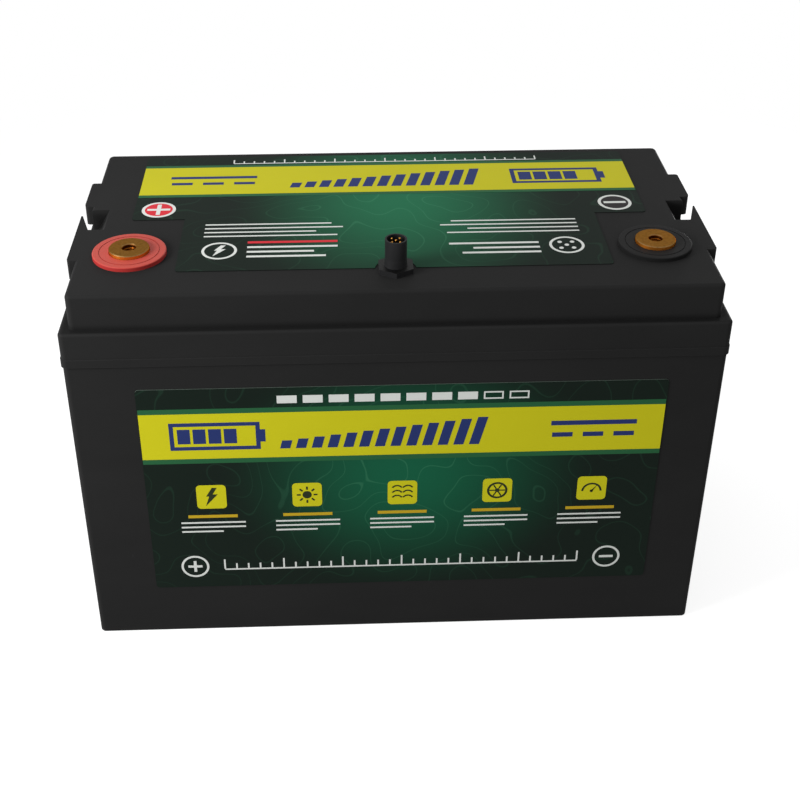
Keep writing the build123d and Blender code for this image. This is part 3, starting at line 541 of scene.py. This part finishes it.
class Ink:
    """Flat shapes of one colour on a film, drawn across and up it in millimetres. The level counts
    the layers of ink from the film outwards."""

    def __init__(self, name, film, shade, thin, level):
        self.name = name
        self.film = film
        self.level = level
        self.shape = bmesh.new()
        self.material = ink(name, shade, thin)

    def bar(self, across, up, width, height, corner=0.0, lean=0.0):
        """Rectangle round its middle, with rounded corners, leaning to the right by lean."""
        place = Matrix.Translation((across, up, 0)) @ Matrix.Diagonal((width, height, 1, 1))
        made = bmesh.ops.create_grid(
            self.shape, x_segments=1, y_segments=1, size=0.5, matrix=place
        )
        for corner_point in made["verts"]:
            corner_point.co.x += lean * (corner_point.co.y - up)
        if corner:
            bmesh.ops.bevel(
                self.shape, geom=made["verts"], offset=corner, segments=CORNER_STEPS,
                profile=0.5, affect="VERTICES", material=-1,
            )

    def disc(self, across, up, radius):
        """Full disc round its middle."""
        place = Matrix.Translation((across, up, 0))
        bmesh.ops.create_circle(
            self.shape, cap_ends=True, segments=int(360 / ARC_STEP), radius=radius, matrix=place
        )

    def arc(self, across, up, radius, width, start=0.0, turn=360.0):
        """Part of a ring of that outer radius and width, from start over turn degrees."""
        aim = Vector((cos(radians(start)), sin(radians(start)), 0))
        centre = Vector((across, up, 0))
        ends = [self.shape.verts.new(centre + aim * r) for r in (radius - width, radius)]
        line = self.shape.edges.new(ends)
        bmesh.ops.spin(
            self.shape, geom=[*ends, line], cent=centre, axis=(0, 0, 1), angle=radians(turn),
            steps=max(FEWEST_ARC_STEPS, int(turn / ARC_STEP)), use_merge=turn == 360.0,
        )

    def outline(self, points, across, up, size):
        """Flat face through the points, which are multiplied by size and moved to their place."""
        corners = [self.shape.verts.new((across + size * x, up + size * y, 0)) for x, y in points]
        self.shape.faces.new(corners)

    def finish(self):
        """Gives the shapes the ink's thickness and lays them on their film."""
        slot, place = films[self.film]
        bmesh.ops.recalc_face_normals(self.shape, faces=self.shape.faces)
        for face in self.shape.faces:
            if face.normal.z < 0:
                face.normal_flip()
        bmesh.ops.solidify(self.shape, geom=self.shape.faces[:], thickness=INK_THICKNESS)
        lowest = min(point.co.z for point in self.shape.verts)
        rise = self.level * (INK_THICKNESS - INK_SINK) - INK_SINK - lowest
        self.shape.transform(place @ Matrix.Translation((0, 0, rise)))
        add_piece(self.name, self.shape, self.material)


front_face = Matrix.Translation((0, front_low.y, 0)) @ Matrix.Rotation(pi / 2, 4, "X")
top_face = Matrix.Translation((0, 0, top_high.z))
# The slot of each film and the place of its face.
films = {"front": ("front_print", front_face), "top": ("top_print", top_face)}

# Each ink where it lies thick and where it lies thin.
FRONT_YELLOW = (tint(196, 191, 29), tint(184, 178, 27))
TOP_YELLOW = (tint(191, 186, 28), tint(179, 173, 26))
BORDER_GREEN = (tint(40, 92, 58), tint(34, 80, 50))
NAVY = (tint(36, 48, 98), tint(43, 56, 106))
AMBER = (tint(190, 158, 36), tint(176, 144, 34))
WHITE = (tint(212, 214, 210), tint(196, 200, 196))
TILE_DARK = (tint(36, 44, 26), tint(48, 54, 34))
DISC_RED = (tint(196, 40, 52), tint(206, 58, 66))
DISC_BLACK = (tint(38, 35, 36), tint(44, 41, 42))

BOLT = ((-1.5, 0.3), (1.2, 5.0), (3.4, 5.0), (1.4, 1.4), (3.6, 1.4), (-1.9, -5.0), (-0.2, 0.3))


def bolt(ink_layer, across, up, size):
    """Zigzag bolt, ten times size high."""
    ink_layer.outline(BOLT, across - 0.8 * size, up, size)


def cross(ink_layer, across, up, span, thickness):
    """Plus sign, made of one long bar and two short ones."""
    arm = (span - thickness) / 2
    ink_layer.bar(across, up, span, thickness)
    for side in (-1, 1):
        ink_layer.bar(across, up + side * (thickness + arm) / 2, thickness, arm)


def sun(ink_layer, across, up, radius):
    """Disc with eight rays."""
    ink_layer.disc(across, up, 0.45 * radius)
    for step in range(8):
        turn = Matrix.Rotation(step * pi / 4, 3, "Z")
        ray = [(0.62, -0.09), (1.0, -0.09), (1.0, 0.09), (0.62, 0.09)]
        ink_layer.outline([(turn @ Vector((*p, 0)))[:2] for p in ray], across, up, radius)


def waves(ink_layer, across, up, radius):
    """Three rows of two shallow arcs."""
    for row in (-0.6, 0.0, 0.6):
        for column in (-0.52, 0.52):
            place = (across + column * radius, up + (row - 0.28) * radius)
            ink_layer.arc(*place, 0.62 * radius, 0.16 * radius, 32, 116)


def wheel(ink_layer, across, up, radius):
    """Rim, hub and six spokes."""
    ink_layer.arc(across, up, radius, 0.22 * radius)
    ink_layer.disc(across, up, 0.24 * radius)
    for step in range(6):
        turn = Matrix.Rotation(step * pi / 3, 3, "Z")
        spoke = [(0.26, -0.07), (0.76, -0.07), (0.76, 0.07), (0.26, 0.07)]
        ink_layer.outline([(turn @ Vector((*p, 0)))[:2] for p in spoke], across, up, radius)


def gauge(ink_layer, across, up, radius):
    """Half ring with a needle on its pivot."""
    pivot_up = up - 0.35 * radius
    ink_layer.arc(across, pivot_up, radius, 0.2 * radius, 0, 180)
    needle = ((-0.12, 0.0), (0.12, 0.0), (0.52, 0.72))
    ink_layer.outline(needle, across, pivot_up, radius)
    ink_layer.disc(across, pivot_up, 0.16 * radius)


CHARGE_PLACES = 5
CHARGE_GAP = 1.4


def battery_symbol(ink_layer, across, up, width, height, wall, charge):
    """Outline of a battery with its pole, holding that many charge bars out of five."""
    for side in (-1, 1):
        ink_layer.bar(across, up + side * (height - wall) / 2, width, wall)
        ink_layer.bar(across + side * (width - wall) / 2, up, wall, height - 2 * wall)
    ink_layer.bar(across + width / 2 + 0.6 * wall, up, 1.2 * wall, 0.45 * height)
    pitch = (width - 3 * wall) / CHARGE_PLACES
    for step in range(charge):
        place = across - width / 2 + 1.5 * wall + (step + 0.5) * pitch
        ink_layer.bar(place, up, pitch - CHARGE_GAP, height - 3.6 * wall)


def rising_bars(ink_layer, across, up, count, pitch, width, lowest, highest):
    """Leaning bars that stand on one line and grow to the right."""
    for step in range(count):
        height = lowest + (highest - lowest) * step / (count - 1)
        ink_layer.bar(across + step * pitch, up + height / 2, width, height, lean=0.25)


def direct_current(ink_layer, across, up, width, thickness):
    """Straight line over three dashes."""
    ink_layer.bar(across, up + 1.3 * thickness, width, thickness)
    for step in (-1, 0, 1):
        ink_layer.bar(across + step * width * 0.36, up - 1.3 * thickness, width * 0.24, thickness)


LONG_TICK_EVERY = 5
SHORT_TICK = 0.55


def ruler(ink_layer, start, end, up, pitch, height, thickness):
    """Scale with a full tick at every fifth place and shorter ones between."""
    ink_layer.bar((start + end) / 2, up, end - start, thickness)
    count = int((end - start) / pitch)
    for step in range(count + 1):
        tick = height if step % LONG_TICK_EVERY == 0 else SHORT_TICK * height
        ink_layer.bar(start + step * pitch, up + (tick + thickness) / 2, thickness, tick)


OPEN_SEGMENTS = 2


def charge_row(ink_layer, across, up, count, pitch, width, height, wall):
    """Row of charge segments, all full but the last ones, which are open."""
    for step in range(count):
        place = across + (step - (count - 1) / 2) * pitch
        if step < count - OPEN_SEGMENTS:
            ink_layer.bar(place, up, width, height)
            continue
        for side in (-1, 1):
            ink_layer.bar(place, up + side * (height - wall) / 2, width, wall)
            ink_layer.bar(place + side * (width - wall) / 2, up, wall, height - 2 * wall)


def rules(ink_layer, anchor, up, lengths, pitch, thickness, side):
    """Plain lines under each other that share one end."""
    for step, length in enumerate(lengths):
        ink_layer.bar(anchor + side * length / 2, up - step * pitch, length, thickness)


BAND_END_GAP = 0.3
BAND_BORDER = 3.0


def yellow_band(film, yellow, up, height, left, right):
    """Straight yellow band with a green border above and below, across a film."""
    border = Ink(f"{film}_band_border", film, *BORDER_GREEN, 1)
    band = Ink(f"{film}_band", film, *yellow, 2)
    width = right - left - 2 * BAND_END_GAP
    border.bar((left + right) / 2, up, width, height + 2 * BAND_BORDER)
    band.bar((left + right) / 2, up, width, height)
    border.finish()
    band.finish()


def front_print():
    """Front film: charge row, band with symbols, one row of tiles and a scale between signs."""
    left, right = front_low.x, front_high.x
    centre = (left + right) / 2
    band_up = front_low.z + 101
    yellow_band("front", FRONT_YELLOW, band_up, 28, left, right)
    navy = Ink("front_band_marks", "front", *NAVY, 3)
    battery_symbol(navy, left + 38, band_up, width=46, height=17, wall=2.2, charge=4)
    rising_bars(
        navy, left + 74, band_up - 8.5, count=13, pitch=8.2, width=5.2, lowest=5, highest=17
    )
    direct_current(navy, right - 36, band_up, width=44, thickness=2.8)
    navy.finish()
    white = Ink("front_white_marks", "front", *WHITE, 1)
    scale_up = front_low.z + 12
    ruler(white, left + 38, right - 38, scale_up, pitch=6.38, height=6.5, thickness=0.9)
    charge_row(
        white, centre, front_high.z - 7.2, count=10, pitch=13.0, width=10.0, height=4.6, wall=0.8
    )
    sign_up = scale_up + 2.5
    for side, middle in ((-1, left + 22), (1, right - 22)):
        white.arc(middle, sign_up, radius=7.5, width=1.2)
        if side < 0:
            cross(white, middle, sign_up, span=7.6, thickness=1.5)
        else:
            white.bar(middle, sign_up, width=7.6, height=1.5)
    tiles = Ink("front_tiles", "front", *FRONT_YELLOW, 1)
    symbols = Ink("front_tile_symbols", "front", *TILE_DARK, 2)
    headings = Ink("front_headings", "front", *AMBER, 1)
    tile_up = front_low.z + 62
    tile_pitch = 50
    tile_side = 15.5
    drawings = ((bolt, 1.2), (sun, 5.4), (waves, 5.4), (wheel, 5.4), (gauge, 5.4))
    for step, (draw, size) in enumerate(drawings):
        across = centre + (step - 2) * tile_pitch
        tiles.bar(across, tile_up, tile_side, tile_side, corner=2.2)
        draw(symbols, across, tile_up, size)
        headings.bar(across, tile_up - 13.0, width=26, height=1.9)
        rules(
            white, across - 17, tile_up - 17.2,
            lengths=(34, 34, 22), pitch=3.0, thickness=1.0, side=1,
        )
    tiles.finish()
    symbols.finish()
    headings.finish()
    white.finish()


def top_print():
    """Top film: scale, band with symbols, polarity discs, and signs with lines on the tongue."""
    left, right = top_low.x, top_high.x
    post = middle_of("negative_terminal")
    band_up = top_high.y - 32.0
    yellow_band("top", TOP_YELLOW, band_up, 35, left, right)
    navy = Ink("top_band_marks", "top", *NAVY, 3)
    direct_current(navy, left + 40, band_up, width=48, thickness=3.0)
    rising_bars(
        navy, left + 86, band_up - 10.5, count=13, pitch=8.2, width=5.4, lowest=6, highest=21
    )
    battery_symbol(navy, right - 42, band_up, width=50, height=19, wall=2.4, charge=4)
    navy.finish()
    white = Ink("top_white_marks", "top", *WHITE, 1)
    ruler(white, left + 50, right - 50, top_high.y - 9.5, pitch=5.79, height=4.4, thickness=0.8)
    plus_across = left + 13.0
    minus_across = right - 14.8
    disc_up = post.y + 49.2
    red = Ink("plus_disc", "top", *DISC_RED, 2)
    black = Ink("minus_disc", "top", *DISC_BLACK, 2)
    signs = Ink("polarity_signs", "top", *WHITE, 3)
    for across, layer in ((plus_across, red), (minus_across, black)):
        white.disc(across, disc_up, radius=9.1)
        layer.disc(across, disc_up, radius=7.4)
        layer.finish()
    cross(signs, plus_across, disc_up, span=12.2, thickness=2.2)
    signs.bar(minus_across, disc_up, width=12.0, height=2.2)
    signs.finish()
    sign_up = middle_of("connector_shell").y + 22
    sign_across = abs(post.x) - 45
    lines_off = 14
    for side in (-1, 1):
        white.arc(side * sign_across, sign_up, radius=9.0, width=1.4)
        rules(
            white, side * (sign_across - lines_off), sign_up + 3.4,
            lengths=(46, 34, 40), pitch=5.0, thickness=1.8, side=-side,
        )
        rules(
            white, side * (sign_across + 9), sign_up + 29,
            lengths=(66, 72, 58, 69), pitch=4.4, thickness=1.2, side=-side,
        )
    strip_width = 46
    strip = Ink("top_red_strip", "top", *DISC_RED, 1)
    strip_across = lines_off - sign_across + strip_width / 2
    strip.bar(strip_across, sign_up + 8.6, width=strip_width, height=2.2)
    strip.finish()
    bolt(white, -sign_across, sign_up, size=1.15)
    pin_pitch = 3.2
    for across, up in ((0, 0), (-1, -1), (-1, 1), (1, -1), (1, 1)):
        white.disc(sign_across + across * pin_pitch, sign_up + up * pin_pitch, radius=1.15)
    white.finish()


# The screw threads. Their root lies a little inside the brass, so that no gap shows.
THREAD_PITCH = 1.25
THREAD_HEIGHT = 0.32
THREAD_ROOT_SINK = 0.06
THREAD_TOP_GAP = 1.6
THREAD_TURNS = 9
STEPS_A_TURN = 24


def post_thread(node, mount_name):
    """Screw thread inside a post, standing a little out of the wall of its hole."""
    hole = mounts[mount_name]["dims"]["r_mm"]
    post = middle_of(node)
    start = box_mm(node)[1].z - THREAD_TOP_GAP
    root = hole + THREAD_ROOT_SINK
    crest = hole - THREAD_HEIGHT
    profile = [(root, 0.0), (crest, 0.42 * THREAD_PITCH), (root, 0.84 * THREAD_PITCH)]
    thread = bmesh.new()
    corners = [thread.verts.new((post.x + r, post.y, start - drop)) for r, drop in profile]
    face = thread.faces.new(corners)
    bmesh.ops.spin(
        thread, geom=[*corners, *face.edges, face], cent=post, axis=(0, 0, 1),
        angle=THREAD_TURNS * 2 * pi, steps=THREAD_TURNS * STEPS_A_TURN,
        dvec=(0, 0, -THREAD_PITCH / STEPS_A_TURN),
    )
    name = node.replace("terminal", "thread")
    add_piece(name, thread, materials["brass"])


front_print()
top_print()
post_thread("positive_terminal", "terminal_positive")
post_thread("negative_terminal", "terminal_negative")


# ---------------------------------------------------------------- floor, light and camera

# How pale the floor is as it lights the battery, and as it is seen.
PALE = 0.35
SHOWN_PALE = 1.5
# The share of plain white in the seen floor near the battery, and the distances between which it
# rises to all of it.
NEAR_WHITE = 0.75
WHITENS_FROM = 0.3
WHITE_FROM = 0.75
FLOOR_HALF_WIDTH = 6.0
# How strongly the white surroundings light the battery.
ROOM_LIGHT = 0.7
LAMP_AIM = Vector((0, 0, 0.12))
CAMERA_PLACE = (-0.0294, -0.6355, 0.5324)
LOOK_DOWN = radians(31.34)
LOOK_RIGHT = radians(2.166)


def background_ray(nodes):
    """1 for rays that show the background: from the camera, a mirror or glass."""
    path = nodes.add("ShaderNodeLightPath", output="Is Camera Ray")
    return path.most(path.output("Is Glossy Ray")).most(path.output("Is Transmission Ray"))


def make_floor():
    """Pale floor that shows as white and keeps a light shadow round the battery."""
    floor_shape = bmesh.new()
    bmesh.ops.create_grid(floor_shape, x_segments=1, y_segments=1, size=FLOOR_HALF_WIDTH)
    mesh = bpy.data.meshes.new("floor")
    floor_shape.to_mesh(mesh)
    floor_shape.free()
    floor = bpy.data.objects.new("floor", mesh)
    bpy.context.scene.collection.objects.link(floor)
    material = bpy.data.materials.new("floor")
    material.use_nodes = True
    nodes = Nodes(material.node_tree)
    shown = background_ray(nodes)
    colour = nodes.mix(shown, (PALE, PALE, PALE, 1), (SHOWN_PALE, SHOWN_PALE, SHOWN_PALE, 1))
    surface = nodes.add("ShaderNodeBsdfDiffuse", {}, {"Color": colour})
    white = nodes.add("ShaderNodeEmission", {}, {"Color": (1, 1, 1, 1), "Strength": 1.0})
    place = nodes.add("ShaderNodeTexCoord", output="Object")
    away = nodes.add("ShaderNodeVectorMath", {"operation": "LENGTH"}, {0: place}, "Value")
    far_out = away.fade(WHITENS_FROM, WHITE_FROM)
    share = shown * (NEAR_WHITE + (1 - NEAR_WHITE) * far_out)
    mixed = nodes.add("ShaderNodeMixShader", {}, {0: share, 1: surface, 2: white})
    output = nodes.tree.nodes["Material Output"]
    nodes.tree.links.new(mixed.socket, output.inputs["Surface"])
    mesh.materials.append(material)


def make_world():
    """White surroundings: full strength where they show, softer as light on the battery."""
    world = bpy.data.worlds.new("studio")
    world.use_nodes = True
    bpy.context.scene.world = world
    nodes = Nodes(world.node_tree)
    background = nodes.tree.nodes["Background"]
    background.inputs["Color"].default_value = (1.0, 1.0, 1.0, 1.0)
    strength = ROOM_LIGHT + (1 - ROOM_LIGHT) * background_ray(nodes)
    nodes.tree.links.new(strength.socket, background.inputs["Strength"])


def add_lamp(name, place, size, power):
    """Soft square lamp that faces the middle of the battery."""
    lamp = bpy.data.lights.new(name, "AREA")
    lamp.shape = "SQUARE"
    lamp.size = size
    lamp.energy = power
    holder = bpy.data.objects.new(name, lamp)
    holder.location = place
    holder.visible_camera = False
    aim = LAMP_AIM - holder.location
    holder.rotation_euler = aim.to_track_quat("-Z", "Y").to_euler()
    bpy.context.scene.collection.objects.link(holder)


def add_camera():
    """Camera a little left of the front, looking down at the battery."""
    camera = bpy.data.cameras.new("camera")
    camera.sensor_width = 36.0
    camera.lens = 59.78
    camera.shift_x = 0.0246
    camera.shift_y = -0.0943
    holder = bpy.data.objects.new("camera", camera)
    holder.location = CAMERA_PLACE
    holder.rotation_euler = (pi / 2 - LOOK_DOWN, 0, -LOOK_RIGHT)
    bpy.context.scene.collection.objects.link(holder)
    bpy.context.scene.camera = holder


make_floor()
make_world()
add_lamp("key_lamp", (-0.6, -0.31, 0.44), size=0.3, power=5.5)
add_lamp("back_lamp", (0.5, 0.6, 0.14), size=0.3, power=2.4)
add_camera()
bpy.context.scene.view_settings.view_transform = "Standard"
